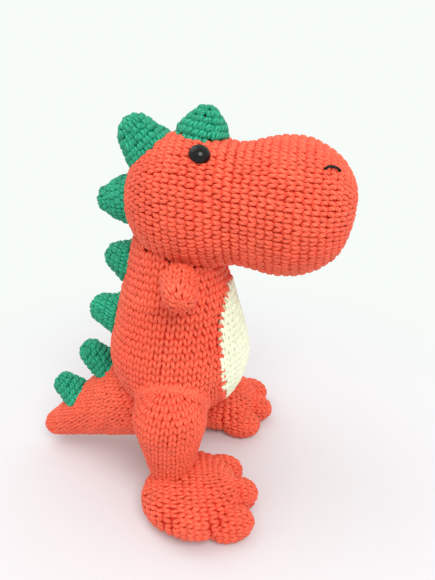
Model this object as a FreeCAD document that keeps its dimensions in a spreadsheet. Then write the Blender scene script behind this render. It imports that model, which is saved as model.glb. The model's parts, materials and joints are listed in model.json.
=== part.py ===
import FreeCAD, Part
import os
import re
from math import asin, cos, radians, sin
from FreeCAD import Placement, Rotation, Vector

# A crocheted, stuffed dinosaur standing on two feet. It faces -Y, its right side is at -X, and the
# soles stand on Z = 0. Every soft piece is a crocheted cover with its own stuffing inside.
# Lengths are millimetres, angles are degrees.
sizes = {
    "cover_wall": 3.0,           # thickness of the crocheted fabric
    "stuffing_gap": 0.3,         # between a cover and the stuffing inside it
    "joint_gap": 0.5,            # between pieces that move against each other
    "seam_gap": 0.15,            # between pieces sewn to each other
    "cranium_radius": 36.3,
    "cranium_y": -0.3,
    "neck_z": 140.5,             # where the underside of the cranium sits
    "snout_radius": 35.5,
    "snout_reach": 51.8,         # from the cranium's centre forwards to the snout's
    "snout_drop": 1.8,           # how far the snout's centre is below the cranium's
    "bridge_radius": 32.3,       # of the waist between cranium and snout
    "torso_radius": 41.0,        # of the round lower half
    "torso_y": 8.5,
    "torso_z": 86.0,
    "chest_bottom_z": 94.0,      # the chest is a cone from here up to the neck
    "chest_bottom_share": 0.983, # its radius there, as a share of torso_radius
    "chest_top_z": 152.0,
    "chest_top_radius": 25.5,
    "chin_cut_y": -8.0,          # the chest is cut away in front of this, under the chin
    "chin_cut_z": 136.0,
    "keel_half": 17.5,           # half the torso's width between the legs
    "hip_y": 5.5,
    "hip_z": 62.0,
    "thigh_radius": 20.5,
    "ankle_radius": 13.5,
    "ankle_z": 24.0,
    "heel_width": 21.0,          # half sizes of the heel, the instep and a toe
    "heel_length": 19.0,
    "heel_height": 14.0,
    "heel_back": -0.5,           # how far the heel's centre is behind the ankle
    "instep_width": 29.0,
    "instep_length": 26.0,
    "instep_height": 14.0,
    "instep_front": 11.0,
    "toe_width": 10.0,
    "toe_length": 14.0,
    "toe_height": 10.0,
    "toe_spread": 19.0,          # between neighbouring toes
    "toe_front": 35.0,           # of the middle toe, from the ankle
    "outer_toe_setback": 6.0,    # of the outer two toes
    "foot_outward": 8.0,         # how far the foot's middle is outside the ankle
    "sole_cut": 1.5,             # how much of each foot's round underside is pressed flat
    "right_toe_out": -17.0,
    "left_toe_out": -2.0,
    "tail_root_radius": 27.0,
    "tail_root_y": 36.0,
    "tail_root_z": 49.0,
    "tail_tip_radius": 8.0,
    "tail_tip_y": 98.0,
    "tail_tip_z": 15.5,
    "arm_radius": 9.2,
    "arm_length": 9.0,           # between the centres of the arm's two round ends
    "arm_z": 143.5,
    "arm_forward": 16.0,         # how far round to the front of the chest the arm is sewn
    "arm_down": 12.0,            # how far the arm points below level
    "spike_wall": 2.2,
    "spike_tip": 0.6,            # tip radius as a share of the spike's base radius
    "spike_sink": 0.35,          # how far its base starts below the surface, as a share of the same
    "tail_spike_room": 1.5,      # between the upper tail spike and the back as the tail wags
    "panel_thickness": 2.0,
    "panel_half_width": 31.0,
    "panel_half_height": 45.0,
    "panel_depth": 22.0,
    "panel_z": 92.0,
    "eye_radius": 5.25,
    "eye_dome": 3.8,             # height of the eye's dome
    "eye_rise": 48.0,            # how far up the side of the head the eye sits
    "eye_forward": 24.0,         # how far forward it sits
    "shank_radius": 2.0,
    "shank_length": 11.0,
    "shank_clearance": 0.15,
    "washer_radius": 6.5,
    "washer_thickness": 1.4,
    "nostril_bend": 10.0,        # radius of the nostril's curve
    "nostril_yarn": 0.8,         # radius of its yarn
    "nostril_arc": 68.0,
    "nostril_tilt": 20.0,        # how far its front end is turned down
    "nostril_rise": 44.5,
    "nostril_forward": 47.0,
}

# each spike's base radius, its height above the surface, and its lean from upright towards the tail
for label, base, height, lean in (
        ("head_spike_front", 15.0, 13.0, -10.0),
        ("head_spike_top", 15.5, 16.5, 38.0),
        ("head_spike_back", 13.5, 15.5, 92.0),
        ("back_spike_upper", 12.5, 14.0, 74.0),
        ("back_spike_lower", 13.0, 17.0, 74.0),
        ("tail_spike_upper", 11.5, 17.5, 46.0),
        ("tail_spike_lower", 11.5, 16.5, 44.0)):
    sizes[label + "_radius"], sizes[label + "_height"], sizes[label + "_lean"] = base, height, lean
sizes["back_spike_upper_z"], sizes["back_spike_lower_z"] = 140.0, 106.0
sizes["tail_spike_upper_along"], sizes["tail_spike_lower_along"] = 1.0, 36.0

# sizes that follow from the ones above
tied = {
    "cranium_z": "neck_z + cranium_radius",
    "chest_bottom_radius": "chest_bottom_share * torso_radius",
    "hip_x": "keel_half + thigh_radius",
}

doc = FreeCAD.newDocument("dinosaur")
sheet = doc.addObject("Spreadsheet::Sheet", "Sizes")
for row, (name, value) in enumerate({**sizes, **tied}.items(), start=1):
    sheet.set(f"A{row}", name)
    sheet.set(f"B{row}", "=" + value if name in tied else str(value))
    sheet.setAlias(f"B{row}", name)
doc.recompute()
for name in tied:
    sizes[name] = sheet.get(name)

nodes = []                       # every finished piece, in the order it is made
right, left = -1, 1


def formula(text):
    """Point every size named in the text at its cell."""
    return re.sub(r"[a-z][a-z_]+", lambda m: "Sizes." + m[0] if m[0] in sizes else m[0], str(text))


def made(kind, name, bindings, at=(0, 0, 0), turn=None):
    """A Part object whose properties and position are bound to the sheet."""
    thing = doc.addObject("Part::" + kind, name)
    if turn:
        thing.Placement = Placement(Vector(), turn)
    for field, text in bindings.items():
        thing.setExpression(field, formula(text))
    for axis, text in zip("xyz", at):
        if text != 0:
            thing.setExpression("Placement.Base." + axis, formula(text))
    return thing


def ball(name, radius, at):
    return made("Sphere", name, {"Radius": radius}, at)


def egg(name, half_x, half_y, half_z, at, turn=None):
    whole = {"Radius1": half_z, "Radius2": half_x, "Radius3": half_y, "Angle1": -90}
    return made("Ellipsoid", name, whole, at, turn)


def rod(name, radius, length, at=(0, 0, 0), turn=None):
    return made("Cylinder", name, {"Radius": radius, "Height": length}, at, turn)


def cone(name, low_radius, high_radius, length, at=(0, 0, 0), turn=None):
    return made("Cone", name, {"Radius1": low_radius, "Radius2": high_radius, "Height": length}, at, turn)


def block(name, long, wide, tall, at):
    return made("Box", name, {"Length": long, "Width": wide, "Height": tall}, at)


def joined(name, pieces):
    whole = doc.addObject("Part::MultiFuse", name)
    whole.Shapes = pieces
    whole.Refine = False
    return whole


def without(name, base, tools):
    cut = doc.addObject("Part::Cut", name)
    cut.Base = base
    cut.Tool = tools[0] if len(tools) == 1 else joined(name + "_tools", tools)
    cut.Refine = False
    return cut


def shared(name, first, second):
    common = doc.addObject("Part::Common", name)
    common.Base, common.Tool = first, second
    return common


def keep(thing, label, placement=Placement()):
    """Name a finished piece, put it in place, and list it for writing."""
    thing.Label = label
    thing.Placement = placement
    nodes.append(thing)


def keep_cover_and_stuffing(label, solid, placement=Placement(), cover_holes=(), stuffing_holes=()):
    """A cover is the solid less its own inside; the stuffing is that inside, a little smaller."""
    shell = without(label + "_shell", solid(label + "_outer", "0"), [solid(label + "_hollow", "cover_wall")])
    if cover_holes:
        shell = without(label + "_holed", shell, list(cover_holes))
    keep(shell, label + "_cover", placement)
    filling = solid(label + "_inside", "(cover_wall + stuffing_gap)")
    if stuffing_holes:
        filling = without(label + "_pocketed", filling, list(stuffing_holes))
    keep(filling, label + "_stuffing", placement)


def facing(direction):
    """The turn that takes +Z to a direction."""
    return Rotation(Vector(0, 0, 1), direction)


def on_ball(centre, radius, rise, forward, side):
    """A point on a ball and the outward direction there: up from the side, then round to the front."""
    up, round_front = radians(rise), radians(forward)
    level = cos(up)
    out = Vector(side * level * cos(round_front), -level * sin(round_front), sin(up))
    return centre + out * radius, out


# head: two balls joined by a waist, sewn to the neck under the cranium
cranium = Vector(0, sizes["cranium_y"], sizes["cranium_z"])
snout = cranium - Vector(0, sizes["snout_reach"], sizes["snout_drop"])
cranium_at = (0, "cranium_y", "cranium_z")
snout_at = (0, "cranium_y - snout_reach", "cranium_z - snout_drop")


def head_solid(name, inset):
    bridge = rod(name + "_bridge", f"bridge_radius - {inset}", "snout_reach", cranium_at, facing(snout - cranium))
    return joined(name, [ball(name + "_cranium", f"cranium_radius - {inset}", cranium_at), bridge,
                         ball(name + "_snout", f"snout_radius - {inset}", snout_at)])


def eye(side, name):
    """A safety eye: a dome and its shank outside and through the cover, and a washer pushed on inside."""
    point, out = on_ball(cranium, sizes["cranium_radius"], sizes["eye_rise"], sizes["eye_forward"], side)
    seat = point + out * sizes["seam_gap"]
    in_place = Placement(seat, facing(out))
    dome = made("Ellipsoid", name + "_dome", {"Radius1": "eye_dome", "Radius2": "eye_radius",
                                              "Radius3": "eye_radius", "Angle1": 0})
    shank = rod(name + "_shank", "shank_radius", "shank_length", (0, 0, "-shank_length"))
    keep(joined(name + "_whole", [dome, shank]), name, in_place)
    bore_radius = "shank_radius + shank_clearance"
    cover_inside = "cranium_radius - sqrt((cranium_radius - cover_wall)^2 - washer_radius^2)"
    washer_low = f"-({cover_inside}) - 2 * seam_gap - washer_thickness"
    disc = rod(name + "_disc", "washer_radius", "washer_thickness", (0, 0, washer_low))
    bore = rod(name + "_bore", bore_radius, "shank_length", (0, 0, "-shank_length"))
    keep(without(name + "_ring", disc, [bore]), name + "_washer", in_place)
    tool_place = Placement(seat - out * (sizes["shank_length"] + sizes["stuffing_gap"]), facing(out))
    hole = rod(name + "_hole", bore_radius, "2 * shank_length")
    pocket = rod(name + "_pocket", "washer_radius + stuffing_gap", "2 * shank_length")
    hole.Placement = pocket.Placement = tool_place
    return hole, pocket


right_tools, left_tools = eye(right, "right_eye"), eye(left, "left_eye")
keep_cover_and_stuffing("head", head_solid, cover_holes=(right_tools[0], left_tools[0]),
                        stuffing_holes=(right_tools[1], left_tools[1]))

for side, name in ((right, "right_nostril"), (left, "left_nostril")):
    point, out = on_ball(snout, sizes["snout_radius"], sizes["nostril_rise"], sizes["nostril_forward"], side)
    yarn = made("Torus", name + "_yarn", {"Radius1": "nostril_bend", "Radius2": "nostril_yarn",
                                          "Angle3": "nostril_arc"})
    across = out.cross(Vector(0, 0, 1)).normalize()
    facing_out = Rotation(across, out.cross(across), out, "ZXY")
    crown = Rotation(Vector(0, 0, 1), -90 + side * sizes["nostril_tilt"])
    middle = point + out * (sizes["nostril_yarn"] + sizes["seam_gap"])
    centre = middle - facing_out.multiply(crown).multVec(Vector(sizes["nostril_bend"], 0, 0))
    start = Rotation(Vector(0, 0, 1), -sizes["nostril_arc"] / 2)
    keep(yarn, name, Placement(centre, facing_out.multiply(crown).multiply(start)))


# torso: a ball below a cone, hollowed where the head, the legs and the tail are sewn on
def pear(name, inset):
    belly = ball(name + "_belly", f"torso_radius - {inset}", (0, "torso_y", "torso_z"))
    chest = cone(name + "_chest", f"chest_bottom_radius - {inset}", f"chest_top_radius - {inset}",
                 "chest_top_z - chest_bottom_z", (0, "torso_y", "chest_bottom_z"))
    return joined(name, [belly, chest])


def torso_solid(name, inset):
    seats = [
        ball(name + "_neck_seat", f"cranium_radius + joint_gap + {inset}", cranium_at),
        block(name + "_chin_room", "4 * torso_radius", "2 * torso_radius", "2 * cranium_radius",
              ("-2 * torso_radius", f"chin_cut_y - 2 * torso_radius + {inset}", f"chin_cut_z - {inset}")),
        ball(name + "_tail_seat", f"tail_root_radius + joint_gap + {inset}", (0, "tail_root_y", "tail_root_z")),
    ]
    for side, word in ((right, "right"), (left, "left")):
        low_x = f"keel_half - {inset}" if side == left else f"-keel_half + {inset} - 2 * torso_radius"
        seats.append(ball(f"{name}_{word}_hip_seat", f"thigh_radius + joint_gap + {inset}",
                          (f"{side} * hip_x", "hip_y", "hip_z")))
        seats.append(block(f"{name}_{word}_leg_room", "2 * torso_radius", "4 * torso_radius", f"hip_z + {inset}",
                           (low_x, "-2 * torso_radius", 0)))
    return without(name, pear(name + "_pear", inset), seats)


keep_cover_and_stuffing("torso", torso_solid)
panel_skin = without("panel_skin", pear("panel_outer", "(-seam_gap - panel_thickness)"),
                     [pear("panel_inner", "(-seam_gap)")])
panel_outline = egg("panel_outline", "panel_half_width", "panel_depth", "panel_half_height",
                    (0, "torso_y - torso_radius", "panel_z"))
keep(shared("panel_patch", panel_skin, panel_outline), "belly_panel")

# tail: a cone with round ends, tapering back and down
tail_root = Vector(0, sizes["tail_root_y"], sizes["tail_root_z"])
tail_tip = Vector(0, sizes["tail_tip_y"], sizes["tail_tip_z"])
tail_line = tail_tip - tail_root
tail_taper = asin((sizes["tail_root_radius"] - sizes["tail_tip_radius"]) / tail_line.Length)
tail_along = Vector(tail_line).normalize()


def tail_solid(name, inset):
    lean = f"{sin(tail_taper)}"
    wide = f"{cos(tail_taper)}"
    root = ball(name + "_root", f"tail_root_radius - {inset}", (0, "tail_root_y", "tail_root_z"))
    start = [f"{base} + {step} * {lean} * (tail_root_radius - {inset})"
             for base, step in zip(("0", "tail_root_y", "tail_root_z"), tail_along)]
    length = f"{tail_line.Length} - {lean} * (tail_root_radius - tail_tip_radius)"
    shaft = cone(name + "_shaft", f"{wide} * (tail_root_radius - {inset})",
                 f"{wide} * (tail_tip_radius - {inset})", length, start, facing(tail_along))
    return joined(name, [root, shaft, ball(name + "_tip", f"tail_tip_radius - {inset}",
                                           (0, "tail_tip_y", "tail_tip_z"))])


keep_cover_and_stuffing("tail", tail_solid)

# legs: a round thigh over a tapering shin, flat on the inner side and at the ankle
leg_taper = asin((sizes["thigh_radius"] - sizes["ankle_radius"]) / (sizes["hip_z"] - sizes["ankle_z"]))


def leg_solid(side):
    def solid(name, inset):
        lean, wide = f"{sin(leg_taper)}", f"{cos(leg_taper)}"
        hip = (f"{side} * hip_x", "hip_y", "hip_z")
        shin_top = f"{wide} * (thigh_radius - {inset})"
        length = f"hip_z - ankle_z - {inset} - {lean} * (thigh_radius - {inset})"
        shin = cone(name + "_shin", f"ankle_radius - {inset}", shin_top, length,
                    (f"{side} * hip_x", "hip_y", f"ankle_z + {inset}"))
        clear = f"keel_half + joint_gap + {inset}"
        inner = block(name + "_inner", f"2 * ({clear})", "8 * thigh_radius", "8 * thigh_radius",
                      (f"-({clear})", "-4 * thigh_radius", 0))
        whole = joined(name + "_round", [ball(name + "_thigh", f"thigh_radius - {inset}", hip), shin])
        return without(name, whole, [inner])
    return solid


# feet: heel, instep and three toes, round above and flat below, built about the ankle
def foot_solid(side):
    return lambda name, inset: foot(name, inset, f"{side} * foot_outward", mirror_turn(side))


def mirror_turn(side):
    """Half a turn on the right, so that the two sides' round pieces are made as mirror images."""
    return Rotation(Vector(0, 0, 1), 0 if side == left else 180)


def foot(name, inset, middle, turn):
    heel_z, instep_z, toe_z = (f"{part}_height - sole_cut" for part in ("heel", "instep", "toe"))
    pieces = [
        egg(name + "_heel", f"heel_width - {inset}", f"heel_length - {inset}", f"heel_height - {inset}",
            (middle, "heel_back", heel_z), turn),
        egg(name + "_instep", f"instep_width - {inset}", f"instep_length - {inset}", f"instep_height - {inset}",
            (middle, "-instep_front", instep_z), turn),
    ]
    for place, word in ((-1, "right"), (0, "middle"), (1, "left")):
        forward = "-toe_front" if place == 0 else "-toe_front + outer_toe_setback"
        pieces.append(egg(f"{name}_{word}_toe", f"toe_width - {inset}", f"toe_length - {inset}",
                          f"toe_height - {inset}", (f"{middle} + {place} * toe_spread", forward, toe_z), turn))
    floor = block(name + "_floor", "8 * instep_width", "8 * instep_length", "4 * heel_height",
                  ("-4 * instep_width", "-4 * instep_length", f"{inset} - 4 * heel_height"))
    ankle = cone(name + "_ankle", f"ankle_radius + seam_gap + {inset}", f"thigh_radius + seam_gap + {inset}",
                 "hip_z - ankle_z", (0, 0, f"ankle_z - seam_gap - {inset}"), turn)
    return without(name, joined(name + "_round", pieces), [floor, ankle])


for side, word in ((right, "right"), (left, "left")):
    keep_cover_and_stuffing(word + "_leg", leg_solid(side))
    toe_out = Rotation(Vector(0, 0, 1), side * sizes[word + "_toe_out"])
    ankle_spot = Vector(side * sizes["hip_x"], sizes["hip_y"], 0)
    keep_cover_and_stuffing(word + "_foot", foot_solid(side), Placement(ankle_spot, toe_out))


# arms: short round-ended tubes, each sewn by one end to the side of the chest
chest_slope = (sizes["chest_bottom_radius"] - sizes["chest_top_radius"]) / (
    sizes["chest_top_z"] - sizes["chest_bottom_z"])
chest_at_arm = sizes["chest_bottom_radius"] - chest_slope * (sizes["arm_z"] - sizes["chest_bottom_z"])
shoulder_reach = chest_at_arm + (sizes["arm_radius"] + sizes["joint_gap"]) * (1 + chest_slope ** 2) ** 0.5


def arm_solid(name, inset):
    inner = ball(name + "_shoulder", f"arm_radius - {inset}", (0, 0, 0))
    tube = rod(name + "_tube", f"arm_radius - {inset}", "arm_length", (0, 0, 0))
    return joined(name, [inner, tube, ball(name + "_hand", f"arm_radius - {inset}", (0, 0, "arm_length"))])


def shoulder(side):
    round_front = radians(sizes["arm_forward"])
    return Vector(side * shoulder_reach * cos(round_front),
                  sizes["torso_y"] - shoulder_reach * sin(round_front), sizes["arm_z"])


for side, word in ((right, "right"), (left, "left")):
    reach = on_ball(Vector(), 1, -sizes["arm_down"], sizes["arm_forward"], side)[1]
    keep_cover_and_stuffing(word + "_arm", arm_solid, Placement(shoulder(side), facing(reach)))


# spikes: hollow blunt cones standing on the head, the back and the tail, in the middle plane
def spike(label, hosts, foot):
    lean = radians(sizes[label + "_lean"])
    out = Vector(0, sin(lean), cos(lean))
    base, tip, sink = label + "_radius", f"spike_tip * {label}_radius", f"spike_sink * {label}_radius"
    height = f"({label}_height - {tip} + {sink})"
    shaft = cone(label + "_shaft", base, tip, height)
    inside = cone(label + "_inside", f"{base} - spike_wall", f"{tip} - 0.6 * spike_wall", height)
    hollow = without(label + "_hollow", joined(label + "_round", [shaft, ball(label + "_tip", tip, (0, 0, height))]),
                     [inside])
    sink_depth = sizes["spike_sink"] * sizes[label + "_radius"]
    hollow.Placement = Placement(foot - out * sink_depth, facing(out))
    keep(without(label + "_cut", hollow, hosts), label)


head_host = head_solid("head_host", "(-seam_gap)")
pear_host = pear("pear_host", "(-seam_gap)")
tail_host = tail_solid("tail_host", "(-seam_gap)")
back_room = pear("back_room", "(-tail_spike_room)")
for label in ("head_spike_front", "head_spike_top", "head_spike_back"):
    lean = radians(sizes[label + "_lean"])
    spike(label, [head_host], cranium + Vector(0, sin(lean), cos(lean)) * sizes["cranium_radius"])
for label in ("back_spike_upper", "back_spike_lower"):
    foot_z = sizes[label + "_z"]
    foot_y = sizes["torso_y"] + sizes["chest_bottom_radius"] - chest_slope * (foot_z - sizes["chest_bottom_z"])
    spike(label, [pear_host], Vector(0, foot_y, foot_z))
tail_up = Vector(0, -tail_along.z, tail_along.y) * cos(tail_taper) + tail_along * sin(tail_taper)
down_the_slope = Vector(0, tail_up.z, -tail_up.y)
for label in ("tail_spike_upper", "tail_spike_lower"):
    foot = tail_root + tail_up * sizes["tail_root_radius"] + down_the_slope * sizes[label + "_along"]
    spike(label, [tail_host, back_room], foot)


def check_pieces():
    doc.recompute()
    for thing in doc.Objects:
        if "Invalid" in thing.State or "Error" in thing.State:
            raise RuntimeError(f"{thing.Label} failed: {thing.State}")
    for node in nodes:
        if node.Shape.isNull() or not node.Shape.isValid() or not node.Shape.Solids:
            raise RuntimeError(f"{node.Label} has no valid solid")


check_pieces()

# the origin is under the middle of the whole figure
whole = FreeCAD.BoundBox()
for node in nodes:
    whole.add(node.Shape.optimalBoundingBox(False))
shift = Vector(-whole.Center.x, -whole.Center.y, 0)
for node in nodes:
    node.Placement = Placement(shift, Rotation()).multiply(node.Placement)
check_pieces()

os.makedirs("parts", exist_ok=True)
for node in nodes:
    node.Shape.exportStep(os.path.join("parts", node.Label + ".step"))
    print(f"{node.Label:20s} {node.Shape.Volume / 1000:8.2f} cm3  {len(node.Shape.Solids)} solid")
for name, point in (("neck", cranium), ("tail", tail_root), ("right shoulder", shoulder(right)),
                    ("left shoulder", shoulder(left)),
                    ("right hip", Vector(-sizes["hip_x"], sizes["hip_y"], sizes["hip_z"])),
                    ("left hip", Vector(sizes["hip_x"], sizes["hip_y"], sizes["hip_z"]))):
    placed = point + shift
    print(f"{name} turns about {placed.x:.3f} {placed.y:.3f} {placed.z:.3f}")
print(f"overall {whole.XLength:.1f} x {whole.YLength:.1f} x {whole.ZLength:.1f}, lowest {whole.ZMin:.3f}")
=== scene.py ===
import json
from math import cos, pi, radians, sin

import bpy
import numpy as np
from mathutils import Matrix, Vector


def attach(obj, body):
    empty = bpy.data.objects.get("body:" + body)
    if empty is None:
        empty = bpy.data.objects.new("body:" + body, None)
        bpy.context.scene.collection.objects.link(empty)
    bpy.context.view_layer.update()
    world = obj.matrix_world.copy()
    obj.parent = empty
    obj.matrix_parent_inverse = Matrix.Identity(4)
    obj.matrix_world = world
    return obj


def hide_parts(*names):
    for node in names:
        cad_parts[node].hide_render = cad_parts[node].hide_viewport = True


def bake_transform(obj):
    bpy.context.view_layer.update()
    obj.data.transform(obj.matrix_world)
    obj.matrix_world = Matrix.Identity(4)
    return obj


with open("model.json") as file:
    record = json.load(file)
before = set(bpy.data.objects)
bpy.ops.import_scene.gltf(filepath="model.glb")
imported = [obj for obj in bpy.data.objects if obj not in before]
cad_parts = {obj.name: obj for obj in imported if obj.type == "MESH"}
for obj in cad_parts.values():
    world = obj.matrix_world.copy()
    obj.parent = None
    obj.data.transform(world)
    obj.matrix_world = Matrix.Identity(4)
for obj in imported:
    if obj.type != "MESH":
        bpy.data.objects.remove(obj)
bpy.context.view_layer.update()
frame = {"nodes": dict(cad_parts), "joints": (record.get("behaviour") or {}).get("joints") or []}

# shapes are worked out in millimetres, in the frame's own axes, and made in metres
pivots = {joint["name"]: np.array(joint["pos_m"]) * 1000 for joint in frame["joints"]}
middleX = pivots["head_turn"][0]
rightSide, leftSide = -1, 1


# round shapes, as distances from their surfaces
def roundedCone(start, end, startRadius, endRadius):
    start, end = np.array(start, float), np.array(end, float)
    line = end - start
    square = line @ line
    fall = startRadius - endRadius
    slope = square - fall * fall

    def distance(p):
        away = p - start
        y = away @ line
        z = y - square
        across = away * square - y[:, None] * line
        x2 = (across * across).sum(1)
        y2, z2 = y * y * square, z * z * square
        k = np.sign(fall) * fall * fall * x2
        tip = np.sqrt(x2 + z2) / square - endRadius
        root = np.sqrt(x2 + y2) / square - startRadius
        side = (np.sqrt(x2 * slope / square) + y * fall) / square - startRadius
        return np.where(np.sign(z) * slope * z2 > k, tip, np.where(np.sign(y) * slope * y2 < k, root, side))
    return distance


def ball(centre, radius):
    centre = np.array(centre, float)
    return lambda p: np.linalg.norm(p - centre, axis=1) - radius


def egg(centre, halfSizes, turn=0.0):
    centre, half = np.array(centre, float), np.array(halfSizes, float)
    c, s = cos(turn), sin(turn)
    spin = np.array([[c, -s, 0], [s, c, 0], [0, 0, 1]])

    def distance(p):
        q = (p - centre) @ spin
        near = np.linalg.norm(q / half, axis=1)
        return near * (near - 1) / np.maximum(np.linalg.norm(q / half ** 2, axis=1), 1e-6)
    return distance


def plane(point, out):
    point, out = np.array(point, float), np.array(out, float)
    return lambda p: (p - point) @ out


def softly(first, second, slope):
    def distance(p):
        a, b = first(p), second(p)
        h = np.clip(0.5 + 0.5 * (b - a) / slope, 0, 1)
        return b * (1 - h) + a * h - slope * h * (1 - h)
    return distance


def lessSoftly(body, tool, slope):
    joined = softly(lambda p: -body(p), tool, slope)
    return lambda p: -joined(p)


def grown(shape, amount):
    return lambda p: shape(p) - amount


def outwards(shape, points):
    step = 0.25
    slope = np.stack([shape(points + step * axis) - shape(points - step * axis) for axis in np.eye(3)], 1)
    return slope / np.maximum(np.linalg.norm(slope, axis=1, keepdims=True), 1e-9)


def aroundSpine(shape, start, end, ringPoints=96, openStart=False, reach=90.0, upright=(0, 0, 1)):
    # a grid of surface points: pole to pole along the spine, and once round it
    start, end = np.array(start, float), np.array(end, float)
    line = end - start
    axis = line / np.linalg.norm(line)
    sideways = np.cross(axis, upright)
    if np.linalg.norm(sideways) < 0.1:
        sideways = np.cross(axis, (0, 1, 0))
    sideways /= np.linalg.norm(sideways)
    other = np.cross(axis, sideways)
    capSteps, spineSteps = 26, max(3, int(np.linalg.norm(line) / 2))
    rows = [] if openStart else [(start, a) for a in np.linspace(pi - 0.02, pi / 2, capSteps)[:-1]]
    rows += [(start + line * t, pi / 2) for t in np.linspace(0, 1, spineSteps)]
    rows += [(end, a) for a in np.linspace(pi / 2, 0.02, capSteps)[1:]]
    turns = np.linspace(0, 2 * pi, ringPoints, endpoint=False)
    circle = np.cos(turns)[:, None] * sideways + np.sin(turns)[:, None] * other
    origins = np.concatenate([np.repeat(origin[None], ringPoints, 0) for origin, _ in rows])
    rays = np.concatenate([circle * sin(a) + axis * cos(a) for _, a in rows])
    travel = np.full(len(rays), reach)
    for _ in range(48):
        travel -= np.clip(shape(origins + rays * travel[:, None]), -2, 9) * 0.9
    return (origins + rays * travel[:, None]).reshape(len(rows), ringPoints, 3)


def castOnto(shape, origin, way, reach=90.0):
    # the outermost surface point met from an origin inside
    travel = np.array([reach])
    for _ in range(60):
        travel -= np.clip(shape(origin + np.array([way]) * travel[:, None]), -2, 9) * 0.9
    return origin + np.array(way, float) * travel[0]


def stitchRounds(shape, grid, wide, tall, lean):
    # where every stitch sits: its point, the way along its round, the way out, and its stretch
    rows, count, _ = grid.shape
    steps = np.linalg.norm(np.diff(grid, axis=0), axis=2)
    height = np.concatenate([[0], np.cumsum(steps.mean(1))])
    roundCount = max(2, int(round(height[-1] / tall)))
    realTall = height[-1] / roundCount
    spots, alongs, stretches, shift, last = [], [], [], 0.0, 0
    for k in range(roundCount):
        at = (k + 0.5) * realTall
        row = np.interp(at, height, np.arange(rows))
        low = min(int(row), rows - 2)
        ring = grid[low] * (1 - row + low) + grid[low + 1] * (row - low)
        closed = np.vstack([ring, ring[:1]])
        length = np.concatenate([[0], np.cumsum(np.linalg.norm(np.diff(closed, axis=0), axis=1))])
        number = max(5, int(round(length[-1] / wide)))
        number = last if abs(number - last) <= 1 and last else number
        last = number
        shift += lean
        share = (np.arange(number) + shift) / number % 1
        turn = np.interp(share * length[-1], length, np.arange(count + 1))
        rise = np.interp(at + realTall * (share - 0.5), height, np.arange(rows))
        spots.append(fromGrid(grid, rise, turn))
        alongs.append(fromGrid(grid, rise, turn + 0.5) - fromGrid(grid, rise, turn - 0.5))
        stretches += [(length[-1] / number / wide, realTall / tall, 1.0)] * number
    spots, alongs = np.vstack(spots), np.vstack(alongs)
    out = outwards(shape, spots)
    alongs -= out * (alongs * out).sum(1, keepdims=True)
    alongs /= np.maximum(np.linalg.norm(alongs, axis=1, keepdims=True), 1e-9)
    return {"at": spots, "along": alongs, "out": out, "size": np.array(stretches)}


def fromGrid(grid, rise, turn):
    rows, count, _ = grid.shape
    low = np.clip(rise.astype(int), 0, rows - 2)
    first = np.floor(turn).astype(int)
    up, over = (rise - low)[:, None], (turn - first)[:, None]
    first, second = first % count, (first + 1) % count
    below = grid[low, first] * (1 - over) + grid[low, second] * over
    above = grid[low + 1, first] * (1 - over) + grid[low + 1, second] * over
    return below * (1 - up) + above * up


def uneven(stitches, amount, seed):
    # hand work: no two stitches are quite the same size or quite in line
    chance = np.random.default_rng(seed)
    count = len(stitches["at"])
    stitches["at"] = stitches["at"] + chance.normal(0, amount, (count, 3)) * 1.4
    stitches["size"] = stitches["size"] * (1 + chance.normal(0, amount, (count, 3)))
    return stitches


def pulledOnto(stitches, shape):
    # moves stitches straight out or in until they lie on another surface
    for _ in range(6):
        stitches["out"] = outwards(shape, stitches["at"])
        stitches["at"] = stitches["at"] - stitches["out"] * shape(stitches["at"])[:, None]
    across = (stitches["along"] * stitches["out"]).sum(1, keepdims=True)
    stitches["along"] = stitches["along"] - stitches["out"] * across
    stitches["along"] /= np.linalg.norm(stitches["along"], axis=1, keepdims=True)
    return stitches


def only(stitches, wanted):
    return {key: value[wanted] for key, value in stitches.items()}


def together(groups):
    return {key: np.concatenate([group[key] for group in groups]) for key in groups[0]}


def outsideOf(stitches, shapes, depth=0.8):
    keep = np.ones(len(stitches["at"]), bool)
    for shape in shapes:
        keep &= shape(stitches["at"]) > -depth
    return only(stitches, keep)


def newMesh(name, points, faces, smooth=True):
    mesh = bpy.data.meshes.new(name)
    mesh.from_pydata([tuple(p) for p in np.asarray(points, float) * 0.001], [], faces)
    if smooth and faces:
        mesh.polygons.foreach_set("use_smooth", [True] * len(mesh.polygons))
    mesh.update()
    return mesh


def newObject(name, mesh):
    thing = bpy.data.objects.new(name, mesh)
    bpy.context.scene.collection.objects.link(thing)
    return thing


def closedSkin(grid, firstIndex=0):
    # a grid closed by a fan at each end, facing outwards
    rows, count, _ = grid.shape
    points = [grid.reshape(-1, 3), grid[0].mean(0)[None], grid[-1].mean(0)[None]]
    first, last = rows * count, rows * count + 1
    faces = []
    for r in range(rows - 1):
        for c in range(count):
            d = (c + 1) % count
            faces.append((r * count + c, r * count + d, (r + 1) * count + d, (r + 1) * count + c))
    for c in range(count):
        d = (c + 1) % count
        faces.append((first, d, c))
        faces.append((last, (rows - 1) * count + c, (rows - 1) * count + d))
    points = np.vstack(points)
    middle = points[: rows * count].mean(0)
    a, b, c = (points[i] for i in faces[len(faces) // 3][:3])
    if np.dot(np.cross(b - a, c - a), a - middle) < 0:
        faces = [face[::-1] for face in faces]
    return points, [tuple(i + firstIndex for i in face) for face in faces]


def skinsMesh(name, skins):
    points, faces, used = [], [], 0
    for skin in skins:
        p, f = closedSkin(skin, firstIndex=used)
        points.append(p)
        faces += f
        used += len(p)
    return newMesh(name, np.vstack(points), faces)


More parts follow.
